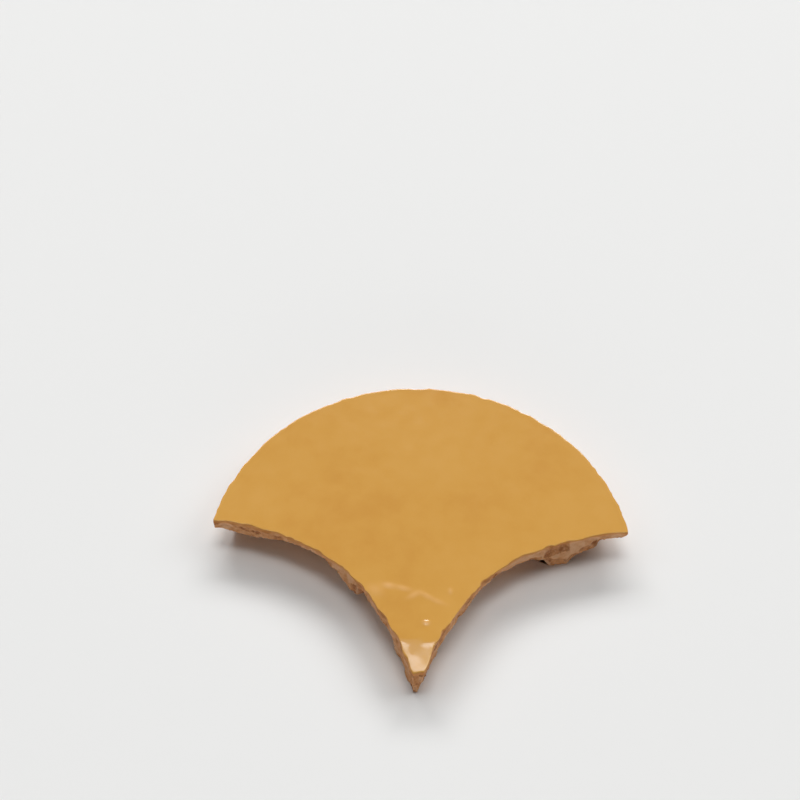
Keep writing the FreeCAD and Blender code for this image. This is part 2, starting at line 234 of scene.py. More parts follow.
# %% The nibbled arris
NIBBLES = 150
NIBBLE_HALF_LENGTH = (0.35, 2.0)
NIBBLE_DEPTH = (0.05, 0.28)
NIBBLE_DROP = (0.5, 2.2)
FULL_BITE_FROM = 1.0
CHIPS = [
    # place on the walk, half length, how far in, how far down
    (girth - 23.4, 1.5, 0.55, 2.0),
    (girth - 46.6, 1.4, 0.55, 2.0),
    (rim_length + 22.8, 1.2, 0.50, 2.5),
    (girth - 66.5, 0.9, 0.55, 3.0),
]
nibble_random = np.random.default_rng(SEEDS["nibbles"])
nibbles = np.stack([nibble_random.uniform(0, girth, NIBBLES),
                    nibble_random.uniform(*NIBBLE_HALF_LENGTH, NIBBLES),
                    nibble_random.uniform(*NIBBLE_DEPTH, NIBBLES),
                    nibble_random.uniform(*NIBBLE_DROP, NIBBLES)])
nibbles[2] *= np.sqrt(np.minimum(nibbles[1], FULL_BITE_FROM))
nibble_at, nibble_half, nibble_deep, nibble_drop = np.concatenate([nibbles, np.transpose(CHIPS)], axis=1)


def around_gap(first, second):
    """Distance along the closed outline from one place to another, with its sign."""
    return (first - second + girth / 2) % girth - girth / 2


def nibbled(place, depth):
    """How far the bites reach in at each place on the walk and each depth below the face.

    A bite is deep * sqrt(1 - (offset / half length)^2), and fades evenly to nothing at its drop."""
    offset = around_gap(place[None], nibble_at[:, None, None]) / nibble_half[:, None, None]
    bite = nibble_deep[:, None, None] * np.sqrt(np.clip(1 - offset**2, 0, 1))
    fade = np.clip(1 - depth[None] / nibble_drop[:, None, None], 0, 1)
    return (bite * fade).max(axis=0)


print(f"{NIBBLES} nibbles of up to {nibbles[2].max():.2f} mm and {len(CHIPS)} chips")

# %% [markdown]
# A place on the flank needs an address that means the same at every depth: how far round the
# outline it is, by angle about the centre of its own arc. The flank is worked along the same
# radii, out from the rim's centre or in to the bay's, so a flake lands where it was aimed.

# %% Addresses on the flank
WAY_SOFTENINGS = 3
on_rim = segment == "rim"
on_bay = (segment == "left_bay") | (segment == "right_bay")
on_end = segment == "end"
left_side = edge[:, 0] < 0
side = np.where(left_side, -1.0, 1.0)
from_corner = np.minimum(np.abs(around_gap(along, 0.0)), np.abs(around_gap(along, rim_length)))
rim_corner = math.atan2(edge[0, 1], edge[0, 0])
bay_corner = math.atan2(edge[0, 1] + ROW_PITCH, edge[0, 0] - BAY_ACROSS)
normal = np.roll(edge, -1, axis=0) - np.roll(edge, 1, axis=0)
normal = np.stack([normal[:, 1], -normal[:, 0]])


def address(x, y):
    """Distance from the nearest corner, and place on the walk from the right-hand corner.

    On an arc the distance is its radius times the angle from the corner."""
    rim_turn = np.arctan2(y, side * x) - rim_corner
    bay_turn = np.arctan2(y + ROW_PITCH, side * x - BAY_ACROSS) - bay_corner
    distance = np.where(on_bay, bay_turn * BAY_RADIUS, from_corner)
    distance = np.where(on_rim, rim_turn * RIM_RADIUS, distance)
    walked = np.where(left_side, rim_length + np.where(on_rim, -distance, distance),
                      np.where(on_rim, distance, girth - distance))
    return distance, walked % girth


def way_out(x, y):
    """The level direction out of the clay: along the arc's radius, or the outline's normal.

    It is averaged with its neighbours, so that nothing tears where two arcs meet."""
    way = np.stack([np.where(on_bay, side * BAY_ACROSS - x, np.where(on_rim, x, normal[0])),
                    np.where(on_bay, -ROW_PITCH - y, np.where(on_rim, y, normal[1]))])
    for _ in range(WAY_SOFTENINGS):
        way = way / np.linalg.norm(way, axis=0)
        way = way + 0.5 * (np.roll(way, 1, axis=-1) + np.roll(way, -1, axis=-1))
    return way / np.linalg.norm(way, axis=0)


print(f"right corner at {math.degrees(rim_corner):.1f} degrees, left corner {rim_length:.0f} mm on")

# %% [markdown]
# Under the lip the tile is chiselled back from behind, stroke by stroke, so that two tiles can
# meet glaze to glaze. The strokes follow one another along the rim and along each bay, as far as
# the tip's keel. Their width and tilt vary a little, as a hand's do.

# %% The strokes of the chisel
CHISEL_WIDTH = 11.0
KEEL_LENGTH = 15.0
LIP_DEPTH = 4.0
RIM_UNDERCUT = 4.0
BAY_UNDERCUT = 6.0
STROKE_HALF_WIDTH = (5.6, 7.2)
STROKE_UNEVENNESS = 0.4       # how much deeper or shallower than the undercut, in mm at the back
STROKE_TILT = 0.07            # how much a stroke leans along the outline

reach_down = -edge[:, 1]
full_undercut = np.where(on_rim, RIM_UNDERCUT, BAY_UNDERCUT)
left_bay_edge = on_bay & left_side
bay_length = np.interp(TOE_REACH - KEEL_LENGTH, reach_down[left_bay_edge], from_corner[left_bay_edge])

# The first stroke of a bay stands on the corner, and the last one stops half a stroke short.
rim_strokes = round(rim_length / CHISEL_WIDTH)
bay_strokes = round(bay_length / CHISEL_WIDTH - 0.5)
bay_pitch = bay_length / (bay_strokes + 0.5)
bay_places = np.arange(bay_strokes + 1) * bay_pitch
stroke_at = np.concatenate([np.arange(1, rim_strokes) * rim_length / rim_strokes,
                            rim_length + bay_places, girth - bay_places])
stroke_count = len(stroke_at)
stroke_random = np.random.default_rng(SEEDS["strokes"])
stroke_half = stroke_random.uniform(*STROKE_HALF_WIDTH, stroke_count)
stroke_foot = stroke_random.uniform(-STROKE_UNEVENNESS, STROKE_UNEVENNESS, stroke_count)
stroke_turn = stroke_random.uniform(-STROKE_TILT, STROKE_TILT, stroke_count)
print(f"{rim_strokes} strokes along the rim, {bay_strokes + 1} along each bay, {bay_pitch:.1f} mm apart")

# %% [markdown]
# A stroke takes off a flat, slightly hollow flake, and starts some way down the lip. How far down
# varies along the bays: in the right-hand one the chisel left a lump that still reaches the floor,
# with a ledge beside it, and in the left-hand one a small ledge. The clay that is left is what no
# stroke reached, so the depth at a place is that of the deepest stroke there.

# %% What the strokes take away
HOLLOW = 0.5
HOLLOW_LEVEL = 0.6            # where across a stroke its hollow neither adds nor takes away
STROKE_SPAN = -0.6            # a stroke counts as far out as its parabola stays above this
UNTOUCHED = -9.0
BITE = 0.78
LEAST_ROOM = 3.0
LIP_WAVER = 0.6
LIP_WAVE = 9.0
LIP_DEPTHS = {
    # distance from the corner along the bay, and how deep the chisel left the lip there
    "left_bay": ([0, 5, 11, 14, 17, 20, 23, 29, 33, 36, 39.5, 43, 46.5, 47.6, 50, 52, 57],
                 [4.0, 4.6, 5.8, 5.4, 4.4, 3.9, 3.0, 2.4, 2.6, 4.0, 6.0, 8.0, 8.6, 3.2, 3.6, 4.4, 5.0]),
    "right_bay": ([0, 2, 5, 6.8, 8.4, 10, 12.5, 13.6, 16.2, 17.2, 21.0, 23.4, 24.6, 27, 30, 36, 40, 43, 47,
                   50, 54],
                  [4.0, 3.2, 2.8, 2.9, 6.3, 6.8, 7.2, 8.6, 11.2, 13, 13, 8.5, 6.4, 5.0, 4.2, 3.8, 3.2, 3.8,
                   4.0, 4.4, 6.0]),
}


def lip_depth(distance, walked):
    """Where the strokes start below the face: the rows above in the bays, wavering elsewhere."""
    depths = LIP_DEPTH + LIP_WAVER * waves(walked[..., None], LIP_WAVE, SEEDS["lip"])
    for bay, (places, values) in LIP_DEPTHS.items():
        depths = np.where(segment == bay, np.interp(distance, places, values), depths)
    return depths


def struck(distance, walked, depth, height):
    """How far the strokes reach in: each starts under the lip and goes in by the undercut at the
    back, fastest at first (fall ^ BITE), tilted a little and hollowed as a parabola across."""
    offset = around_gap(walked[None], stroke_at[:, None, None])
    across = 1.0 - (offset / stroke_half[:, None, None]) ** 2
    lip = lip_depth(distance, walked)
    fall = (depth - lip) / np.maximum(height - lip, LEAST_ROOM)
    fall = np.sign(fall) * np.abs(fall) ** BITE
    reach = full_undercut[None, None, :] + stroke_foot[:, None, None]
    flake = fall[None] * reach + stroke_turn[:, None, None] * offset + HOLLOW * (across - HOLLOW_LEVEL)
    flake = np.where(across > STROKE_SPAN, flake, UNTOUCHED)
    return flake.max(axis=0)


for bay, (_, values) in LIP_DEPTHS.items():
    print(f"{bay}: lip {min(values)} to {max(values)} mm deep, on a tile {THICKNESS:.1f} mm thick")

# %% [markdown]
# Close up, the clay broke in small hollow flakes, like shells, with sharp ridges between them.
# Each flake is a shallow bowl pressed into the flank. The deepest bowl shows at each place, so
# the ridges come of themselves, and each flake keeps its own tone of clay. The flakes that have
# places carry painted light and shade in their tone: pale on facets that face up, dark on those
# that face down or into a hole.

# %% Small flakes
FLAKES = 520
FLAKE_HOLLOW = 0.42
FLAKE_RIDGE = -0.3
FLAKE_OVERLAP = 0.5           # how far past the face and the back a flake may be centred
FLAKE_HALF_LENGTH = (1.3, 4.0)
FLAKE_HALF_HEIGHT = (1.0, 2.8)
FLAKE_DEPTH = (-0.2, 0.15)
FLAKE_LEAN = 0.12
MIDDLE_TONE = 0.5
END_PLACE = along[on_end].mean()
MARKED_FLAKES = [
    # place on the walk, depth, half length, half height, how deep, lean along, lean down, tone;
    # the tone is painted light and shade: pale facing up, dark facing down or into a hole
    (girth - 20.3, 2.3, 3.6, 2.3, 0.55, 0.00, 0.16, 0.02),
    (girth - 15.3, 3.8, 2.0, 3.4, 0.45, 0.10, -0.05, 1.00),
    (girth - 19.5, 5.6, 3.4, 1.3, 0.35, 0.00, -0.22, 0.90),
    (girth - 20.5, 9.2, 2.8, 2.8, 0.50, 0.00, 0.14, 0.35),
    (girth - 15.2, 9.2, 2.2, 2.6, 0.50, 0.16, 0.10, 0.15),
    (girth - 23.6, 7.4, 2.6, 1.8, 0.45, 0.00, 0.15, 0.00),
    (girth - 28.5, 4.4, 2.8, 0.9, 0.40, 0.00, 0.20, 0.00),
    (girth - 10.8, 2.0, 2.8, 1.3, 0.35, 0.00, -0.12, 0.95),
    (girth - 8.3, 4.4, 1.1, 0.9, 1.60, 0.00, 0.00, 0.00),
    (girth - 11.0, 5.4, 3.0, 1.5, 0.35, 0.00, 0.14, 0.10),
    (girth - 26.5, 3.0, 3.0, 1.8, 0.40, 0.00, -0.10, 0.85),
    (rim_length + 44.0, 3.0, 2.2, 1.8, 0.40, 0.00, -0.14, 1.00),
    (rim_length + 45.6, 6.2, 1.8, 2.2, 0.45, 0.00, 0.16, 0.05),
    (END_PLACE - 0.3, 2.4, 1.0, 2.6, 0.30, 0.00, 0.10, 0.45),
]
flake_random = np.random.default_rng(SEEDS["flakes"])
flakes = np.stack([
    flake_random.uniform(0, girth, FLAKES),
    flake_random.uniform(-FLAKE_OVERLAP, THICKNESS + FLAKE_OVERLAP, FLAKES),
    flake_random.uniform(*FLAKE_HALF_LENGTH, FLAKES),
    flake_random.uniform(*FLAKE_HALF_HEIGHT, FLAKES),
    flake_random.uniform(*FLAKE_DEPTH, FLAKES),
    flake_random.uniform(-FLAKE_LEAN, FLAKE_LEAN, FLAKES),
    flake_random.uniform(-FLAKE_LEAN, FLAKE_LEAN, FLAKES),
    flake_random.uniform(0, 1, FLAKES),
])
flakes = np.concatenate([flakes, np.transpose(MARKED_FLAKES)], axis=1)


def flaked(walked, depth):
    """The deepest bowl at each place, and its tone, which on the marked flakes is painted light and
    shade. A bowl is deep - hollow * ((along / half)^2 + (down / tall)^2), leaned a little both ways."""
    deepest = np.full(walked.shape, FLAKE_RIDGE)
    tone_and_shade = np.full(walked.shape, MIDDLE_TONE)
    for at, down, half_long, half_tall, deep, lean, tip, shade in flakes.T:
        offset = around_gap(walked, at)
        drop = depth - down
        value = deep - FLAKE_HOLLOW * ((offset / half_long) ** 2 + (drop / half_tall) ** 2)
        value = value + lean * offset + tip * drop
        deeper = value > deepest
        deepest = np.where(deeper, value, deepest)
        tone_and_shade = np.where(deeper, shade, tone_and_shade)
    return deepest, tone_and_shade


print(f"{FLAKES} seeded flakes and {len(MARKED_FLAKES)} that have places")

# %% [markdown]
# Now the parts of the flank come together. The lip stands nearly upright and the strokes cut in
# below it, but the clay bulges where the lump and the ledges are. Towards the tip the strokes stop
# altogether, because an undercut there would snap it. That keel is only drawn in a little towards
# its foot, and its slim end is broken less roughly, so that the toe keeps its shape.

# %% The depth of the cut at each place
LIP_LEAN = 0.04
KEEL_EASE = (-3.0, 6.0)
KEEL_CUT = {"left": 0.15, "right": 0.5}
KEEL_CUT_ALONG = (20.0, 29.0)
KEEL_CUT_DOWN = (4.0, 10.0)
KEEL_HALF_WIDTH = 1.5
BULGE_DOWN = (0.4, 4.0)
BULGES = [
    # place on the walk, half length, how far out
    (girth - 18.5, 5.0, 0.9),
    (girth - 10.5, 3.5, 0.5),
    (rim_length + 44.5, 3.5, 0.6),
]
SLIM = 3.0                    # within this of the middle line the clay gets less rough
SLIM_ROUGHNESS = 0.3
ROUGH_DOWN = (0.2, 1.6)
FLAKE_SETBACK = 0.25          # sinks the flakes, so that their ridges reach the flank's plane
SPLINTER_LENGTH = 1.8
SPLINTER_HEIGHT = 0.10
GRAIN_LENGTH = 0.9
GRAIN_HEIGHT = 0.05


def flank_inset(distance, walked, depth, height, points, chipped):
    """How far in the flank stands at each level: the lip's plane or the strokes, whichever is
    deeper, less the bulges, and with broken clay over all."""
    keel = np.where(on_rim, 0.0, smooth(distance - bay_length, *KEEL_EASE))
    lip = LIP_LEAN * depth + nibbled(walked, depth)
    inset = np.maximum(lip, struck(distance, walked, depth, height) * (1 - keel))
    for at, half_long, out in BULGES:
        bell = np.exp(-(around_gap(walked, at) / half_long) ** 2)
        inset -= out * bell * smooth(depth, *BULGE_DOWN)
    off_middle = np.abs(edge[:, 0])
    near_tip = smooth(reach_down, *KEEL_CUT_ALONG) * np.clip(off_middle / KEEL_HALF_WIDTH, 0, 1)
    cut = np.where(left_side, KEEL_CUT["left"], KEEL_CUT["right"])
    inset += cut * near_tip * smooth(depth, *KEEL_CUT_DOWN)
    slim = np.where(on_end, 1.0, smooth(off_middle, 0.0, SLIM))
    rough = smooth(depth, *ROUGH_DOWN) * (SLIM_ROUGHNESS + (1 - SLIM_ROUGHNESS) * slim)
    inset += rough * (chipped + FLAKE_SETBACK)
    inset += rough * SPLINTER_HEIGHT * creased(points, SPLINTER_LENGTH, SEEDS["splinters"])
    inset += rough * GRAIN_HEIGHT * waves(points, GRAIN_LENGTH, SEEDS["grains"])
    return inset


print(f"keel from {bay_length:.1f} mm along each bay, {len(BULGES)} bulges")

# %% [markdown]
# The face is glaze that ran level over clay pressed by hand. It waves by a tenth of a millimetre
# over a few centimetres, it bends down towards the tip, and it carries small scars: a wrinkle, a
# few bubbles and a dab on the bend. They are real height, and where the glaze is drawn thin over
# one it's painted paler too: partly thin glaze, partly a painted highlight on the bump.

# %% Height of the glazed face
FACE_TOP = THICKNESS - 0.09
FACE_SWELL = 0.045
SWELL_LENGTH = 46.0
FACE_RIPPLE = 0.012
RIPPLE_LENGTH = 14.0
BEND_REACH = 30.6
BEND_EASE = 1.0
BEND_WAVER = 0.18
BEND_WAVE = 5.0
DROOP_SLOPE = 0.14
NOD_START = 5.0
NOD = 0.020
TIP_SPREAD = 0.40
ROLL_WIDTH = 1.6
ROLL = 0.030
ROLL_EASE = 2.0
SCARS = [
    # where (x, y), height, how thin the glaze is over it (which also paints a highlight there), half
    # length, half width, turn in degrees
    ((1.7, -24.9), 0.17, 1.0, 0.95, 0.66, 0.0),
    ((2.3, -31.3), 0.08, 0.0, 1.7, 0.7, 8.0),
    ((-12.8, -14.6), 0.10, 0.5, 2.4, 1.8, -25.0),
    ((-9.2, -13.0), 0.08, 0.9, 1.6, 0.9, -10.0),
    ((-5.0, -13.8), 0.08, 0.7, 2.4, 0.8, -14.0),
    ((-1.9, -15.9), 0.08, 0.7, 1.9, 0.8, 30.0),
    ((1.6, -16.0), 0.07, 0.6, 2.1, 0.7, -28.0),
    ((4.8, -17.8), 0.06, 0.45, 2.3, 0.7, -22.0),
    ((8.4, -14.3), 0.10, 0.5, 0.6, 0.9, 0.0),
    ((-1.2, 32.0), -0.05, 0.0, 0.7, 0.5, 20.0),
]


def scar_bells(x, y):
    """One bell curve for each scar, 1 at its middle, longer one way than the other:
    exp(-(lengthwise / half length)^2 - (crosswise / half width)^2)."""
    bells = []
    for (at_x, at_y), _, _, half_long, half_wide, degrees in SCARS:
        turn = math.radians(degrees)
        lengthwise = (x - at_x) * math.cos(turn) + (y - at_y) * math.sin(turn)
        crosswise = (y - at_y) * math.cos(turn) - (x - at_x) * math.sin(turn)
        bells.append(np.exp(-(lengthwise / half_long) ** 2 - (crosswise / half_wide) ** 2))
    return bells


def face_height(x, y):
    """Level, plus slow waves, less the droop: a slope past the bend, eased in by a parabola, which
    nods further at its end and rolls over at its left edge. The scars are added on top."""
    points = np.stack([x, y], axis=-1)
    past = -y - BEND_REACH + BEND_WAVER * waves(points, BEND_WAVE, SEEDS["bend"])
    eased = np.where(past > BEND_EASE, past, (past + BEND_EASE) ** 2 / (4 * BEND_EASE))
    droop = DROOP_SLOPE * np.where(past > -BEND_EASE, eased, 0.0)
    droop = droop + NOD / 2 * np.maximum(past - NOD_START, 0.0) ** 2
    half_wide = GLAZE_END_WIDTH / 2 + (GLAZE_REACH + y) * TIP_SPREAD
    inside = np.maximum(ROLL_WIDTH - (x + half_wide), 0.0)
    droop = droop + ROLL * inside**2 * smooth(past, 0.0, ROLL_EASE)
    swell = FACE_SWELL * waves(points, SWELL_LENGTH, SEEDS["face_swell"])
    ripple = FACE_RIPPLE * waves(points, RIPPLE_LENGTH, SEEDS["face_ripple"])
    height = FACE_TOP - droop + swell + ripple
    return height + sum(scar[1] * bell for scar, bell in zip(SCARS, scar_bells(x, y)))


tip_height = face_height(np.zeros(1), np.array([-GLAZE_REACH]))[0]
print(f"face at {FACE_TOP:.2f} mm, its tip at {tip_height:.2f} mm, {len(SCARS)} scars")

# %% [markdown]
# Now the skin is laid out in rings, from the middle of the face to the middle of the back. On the
# face each ring is the outline drawn in towards one point that can see all of the outline. The
# outer rings are close together, because most scars, the bend and the edge are there. The glaze
# ends in a small rounded arris, which stands a little proud of the compass line and wanders.

# %% Rings of the face and the arris
ARRIS = 0.16
ARRIS_TURNS = (30.0, 60.0, 88.0)
PROUD = 0.22
WANDER = 0.16
WANDER_LENGTH = 9.0
FAN_CENTRE = np.array([0.0, 20.0])
FIRST_RING = 0.04
FINE_FROM = 0.54
COARSE_RINGS = 9
FINE_RINGS = 61
face_rings = np.concatenate([np.linspace(FIRST_RING, FINE_FROM, COARSE_RINGS, endpoint=False),
                             np.linspace(FINE_FROM, 1.0, FINE_RINGS)])[:, None]


def wander(walked):
    """How far the edge strays from its line: PROUD plus slow waves along the walk."""
    return PROUD + WANDER * waves(walked[..., None], WANDER_LENGTH, SEEDS["arris"])


_, edge_walked = address(edge[:, 0], edge[:, 1])
edge_out_x, edge_out_y = way_out(edge[:, 0], edge[:, 1])
glaze_line = wander(edge_walked) - nibbled(edge_walked[None], np.zeros((1, 1)))[0]
face_edge_x = edge[:, 0] + edge_out_x * (glaze_line - ARRIS)
face_edge_y = edge[:, 1] + edge_out_y * (glaze_line - ARRIS)
ring_x = FAN_CENTRE[0] + (face_edge_x - FAN_CENTRE[0]) * face_rings
ring_y = FAN_CENTRE[1] + (face_edge_y - FAN_CENTRE[1]) * face_rings
ring_x, ring_y = hand_cut(ring_x, ring_y)
ring_z = face_height(ring_x, ring_y)

arris_turn = np.radians(ARRIS_TURNS)[:, None]
arris_out = glaze_line - ARRIS * (1 - np.sin(arris_turn))
arris_x, arris_y = hand_cut(edge[:, 0] + edge_out_x * arris_out, edge[:, 1] + edge_out_y * arris_out)
arris_z = face_height(arris_x, arris_y) - ARRIS * (1 - np.cos(arris_turn))
print(f"{len(face_rings)} rings on the face, {len(arris_turn)} round the arris")

# %% [markdown]
# The flank hangs from the arris, ring below ring. Each ring starts on the CAD model's own level
# curve, undercut and all, so it is near its place already. Then it is moved out or in, along the
# way out of the clay, by what the chisel and the break did there beyond the CAD model's cut.

# %% Rings of the flank
FLANK_RINGS = 32
CORNER_EASE = 2.2
PROUD_LOST = 0.7
PROUD_DOWN = (1.0, 3.0)
SWAY_FROM = 33.0
fall = (np.arange(1, FLANK_RINGS + 1) / FLANK_RINGS)[:, None]
top_z = arris_z[-1][None, :]
flank_z = top_z * (1 - fall)
depth = top_z - flank_z
nominal = np.clip((fall * THICKNESS - LIP_DEPTH) / (THICKNESS - LIP_DEPTH), 0, 1)
reach = GLAZE_REACH + NOSE_LEAN * fall
width = GLAZE_END_WIDTH + (TOE_WIDTH - GLAZE_END_WIDTH) * fall
base_x, base_y = level_curve(RIM_UNDERCUT * nominal, BAY_UNDERCUT * nominal, reach, width)
distance, walked = address(base_x, base_y)
chipped, tone_and_shade = flaked(walked, depth)
base_points = np.stack([base_x, base_y, flank_z], axis=-1)
inset = flank_inset(distance, walked, depth, top_z, base_points, chipped)

built_in = np.where(on_rim | on_bay, full_undercut, 0.0) * nominal * bay_fade(bay_share)
near_corner = smooth(from_corner, 0.0, CORNER_EASE)
proud = wander(walked) * (1 - PROUD_LOST * smooth(depth, *PROUD_DOWN))
extra = proud - (inset - built_in) * near_corner
out_x, out_y = way_out(base_x, base_y)
flank_x, flank_y = base_x + out_x * extra, base_y + out_y * extra
flank_x = flank_x - NOSE_SWAY * fall * smooth(reach_down, SWAY_FROM, GLAZE_REACH)
print(f"{FLANK_RINGS} rings down the flank, undercut up to {inset.max():.1f} mm")

# %% [markdown]
# The right-hand corner was knocked off below the glaze. A chip is a plane: clay beyond the plane
# is pressed back on to it, along the plane's own normal. The hand's pushes come last, as they did
# on the face, so that flank and face stay joined.

# %% The chipped corner
CHIP_POINT = (edge[0, 0] + 0.1, edge[0, 1], 1.3)
CHIP_ZONE = 45.0
chip_normal = np.array([0.74, -0.12, 0.66])
chip_normal /= np.linalg.norm(chip_normal)
beyond = ((flank_x - CHIP_POINT[0]) * chip_normal[0] + (flank_y - CHIP_POINT[1]) * chip_normal[1]
          + (depth - CHIP_POINT[2]) * chip_normal[2])
pressed = np.maximum(beyond, 0.0) * (flank_x > CHIP_ZONE)
flank_x = flank_x - pressed * chip_normal[0]
flank_y = flank_y - pressed * chip_normal[1]
flank_z = np.clip(flank_z + pressed * chip_normal[2], 0.0, top_z)
flank_x, flank_y = hand_cut(flank_x, flank_y)
print(f"corner knocked back by up to {pressed.max():.1f} mm")

# %% [markdown]
# The back is what the tile is bedded on, so it is plain: flat, as the clay was pressed, with a few
# hollows a fifth of a millimetre deep. Its rings run in from the foot of the flank, as the face's
# do from the edge.

# %% Rings of the back
BACK_HOLLOW = 0.22
BACK_WAVE = 17.0
BACK_EASE = 0.1
back_rings = np.array([0.995, 0.97, 0.9, 0.78, 0.62, 0.44, 0.25, 0.06])[:, None]
foot_x, foot_y = flank_x[-1], flank_y[-1]
back_x = FAN_CENTRE[0] + (foot_x - FAN_CENTRE[0]) * back_rings
back_y = FAN_CENTRE[1] + (foot_y - FAN_CENTRE[1]) * back_rings
back_points = np.stack([back_x, back_y], axis=-1)
back_z = BACK_HOLLOW * np.clip(waves(back_points, BACK_WAVE, SEEDS["back"]), 0, 1)
back_z = back_z * smooth(1 - back_rings, 0.0, BACK_EASE)
print(f"{len(back_rings)} rings on the back, hollows up to {back_z.max():.2f} mm")

# %% [markdown]
# All rings have the same stations, so the skin is one grid: each face joins two stations of one
# ring to the same two of the next. The two holes at the poles are closed by fans of triangles.

# %% Put the skin together
SHARP_FROM = math.radians(38)
skin_x = np.concatenate([ring_x, arris_x, flank_x, back_x])
skin_y = np.concatenate([ring_y, arris_y, flank_y, back_y])
skin_z = np.concatenate([ring_z, arris_z, flank_z, back_z])
rows = len(skin_x)
flank_start = len(ring_x) + len(arris_x)
flank_rows = slice(flank_start, flank_start + FLANK_RINGS)

vertex = np.arange(rows * station_count).reshape(rows, station_count)
after = np.roll(vertex, -1, axis=1)
quads = np.stack([vertex[:-1], vertex[1:], after[1:], after[:-1]], axis=-1).reshape(-1, 4)
top_pole = rows * station_count
back_pole = top_pole + 1
top_fan = np.stack([np.full(station_count, top_pole), vertex[0], after[0]], axis=1)
back_fan = np.stack([np.full(station_count, back_pole), after[-1], vertex[-1]], axis=1)

pole_z = face_height(FAN_CENTRE[:1], FAN_CENTRE[1:])[0]
poles = np.array([[*FAN_CENTRE, pole_z], [*FAN_CENTRE, 0.0]])
verts = np.stack([skin_x.ravel(), skin_y.ravel(), skin_z.ravel()], axis=1)
verts = np.concatenate([verts, poles])
verts[:, 1] += RIM_CENTRE_Y
verts *= MM
print(f"{rows} rings, {len(quads)} four-sided faces and {2 * station_count} triangles")


def make_piece(name, points, polygons):
    """One mesh object at the origin, from an array of points and lists of corner numbers."""
    mesh = bpy.data.meshes.new(name)
    mesh.from_pydata(points.tolist(), [], polygons)
    mesh.update()
    made = bpy.data.objects.new(name, mesh)
    bpy.context.scene.collection.objects.link(made)
    return made


tile = make_piece("glazed_tile", verts, quads.tolist() + top_fan.tolist() + back_fan.tolist())
clay_faces = np.zeros(len(tile.data.polygons), np.int32)
clay_faces[(flank_start - 1) * station_count:len(quads)] = 1
clay_faces[-station_count:] = 1
tile.data.polygons.foreach_set("material_index", clay_faces)
tile.data.shade_smooth()
tile.data.set_sharp_from_angle(angle=SHARP_FROM)
triangles = sum(len(face.vertices) - 2 for face in tile.data.polygons)
print(f"{tile.name}: {len(verts)} vertices, {triangles} triangles")

# %% [markdown]
# Clay tells how it was broken: ridges are dusty, each flake has its tone, and the glaze stains
# what is close below it. Painted light goes along too: a highlight on the ridges and over the
# scars, and light and shade in the marked flakes' tones. A texture can't know that, but the arrays
# above do. So four measures go along as attributes, one number for each vertex, for the materials
# to read.

# %% Measures for the materials
RIDGE_SOFTENINGS = 6
RIDGE_HEIGHT = 0.25           # a ridge this high, in millimetres, counts as fully dusty and fully lit by the painted highlight
FAR_BELOW = 20.0              # stands for the back, which no glaze reaches
AT_THE_POLES = {
    # measure, and its number at the middle of the face and of the back
    "ridge": (0.0, 0.0),
    "below_glaze": (0.0, FAR_BELOW),
    "flake_tone_and_shade": (MIDDLE_TONE, MIDDLE_TONE),
    "thin_glaze_and_highlight": (0.0, 0.0),
}

softened = inset.copy()
for _ in range(RIDGE_SOFTENINGS):
    softened = (softened + np.roll(softened, 1, axis=1) + np.roll(softened, -1, axis=1)) / 3
ridge = np.zeros((rows, station_count))
ridge[flank_rows] = np.clip((softened - inset) / RIDGE_HEIGHT, -1, 1)
# Each flake's tone; the marked flakes' tones are painted light and shade.
flake_tone_and_shade = np.full((rows, station_count), MIDDLE_TONE)
flake_tone_and_shade[flank_rows] = tone_and_shade
below_glaze = np.zeros((rows, station_count))
below_glaze[flank_start:] = FAR_BELOW
below_glaze[flank_rows] = depth
# How thin the glaze is over each scar; its paler colour is partly a painted highlight.
thin_glaze_and_highlight = sum(scar[2] * bell for scar, bell in zip(SCARS, scar_bells(skin_x, skin_y)))


def give_attribute(piece, name, values):
    """Store one number for each vertex, and for the two poles, under a name for a material."""
    attribute = piece.data.attributes.new(name, "FLOAT", "POINT")
    attribute.data.foreach_set("value", np.append(values.ravel(), AT_THE_POLES[name]).astype(np.float32))
    print(f"{name}: from {values.min():.2f} to {values.max():.2f}")


give_attribute(tile, "ridge", ridge)
give_attribute(tile, "below_glaze", below_glaze)
give_attribute(tile, "flake_tone_and_shade", flake_tone_and_shade)
give_attribute(tile, "thin_glaze_and_highlight", thin_glaze_and_highlight)

# %% [markdown]
# The materials come next. One helper adds a node with its settings and links, and one turns a
# web colour into the linear numbers that the shader wants. Sizes in a pattern are millimetres.

# %% Node helpers


def linear(web_colour):
    """An sRGB hex colour as linear red, green, blue and alpha: the standard's own two-part curve,
    a short straight piece and then ((c + 0.055) / 1.055) ^ 2.4."""
    parts = [int(web_colour[i:i + 2], 16) / 255 for i in (1, 3, 5)]
    return [p / 12.92 if p <= 0.04045 else ((p + 0.055) / 1.055) ** 2.4 for p in parts] + [1.0]


def new_material(name):
    """An empty material with a node tree."""
    material = bpy.data.materials.new(name)
    material.use_nodes = True
    material.node_tree.nodes.clear()
    return material


def add_node(material, kind, settings=(), **inputs):
    """Add a node. Settings are its own properties; inputs are values or other nodes' sockets,
    named as the sockets are, with _ for a space, or in_ and a number."""
    node = material.node_tree.nodes.new(kind)
    for key, value in dict(settings).items():
        setattr(node, key, value)
    for key, value in inputs.items():
        place = int(key[3:]) if key.startswith("in_") else key.replace("_", " ")
        if isinstance(value, bpy.types.NodeSocket):
            material.node_tree.links.new(value, node.inputs[place])
        else:
            node.inputs[place].default_value = value
    return node


def per_metre(millimetres):
    """The scale of a texture on Object coordinates whose features are that many millimetres."""
    return 1 / (millimetres * MM)


print("web grey #808080 as the shader takes it:", [round(part, 3) for part in linear("#808080")])


# %% [markdown]
# The glaze is a lead-free earthenware glaze stained with iron: honey yellow, glossy, with a skin
# like very fine orange peel and a few pinholes. It pools a little darker in the hollows. One
# glossy layer over a diffuse colour gives that; the colour drifts over centimetres and again over
# millimetres. The peel is drawn coarser than the real one, which would be lost in the picture.

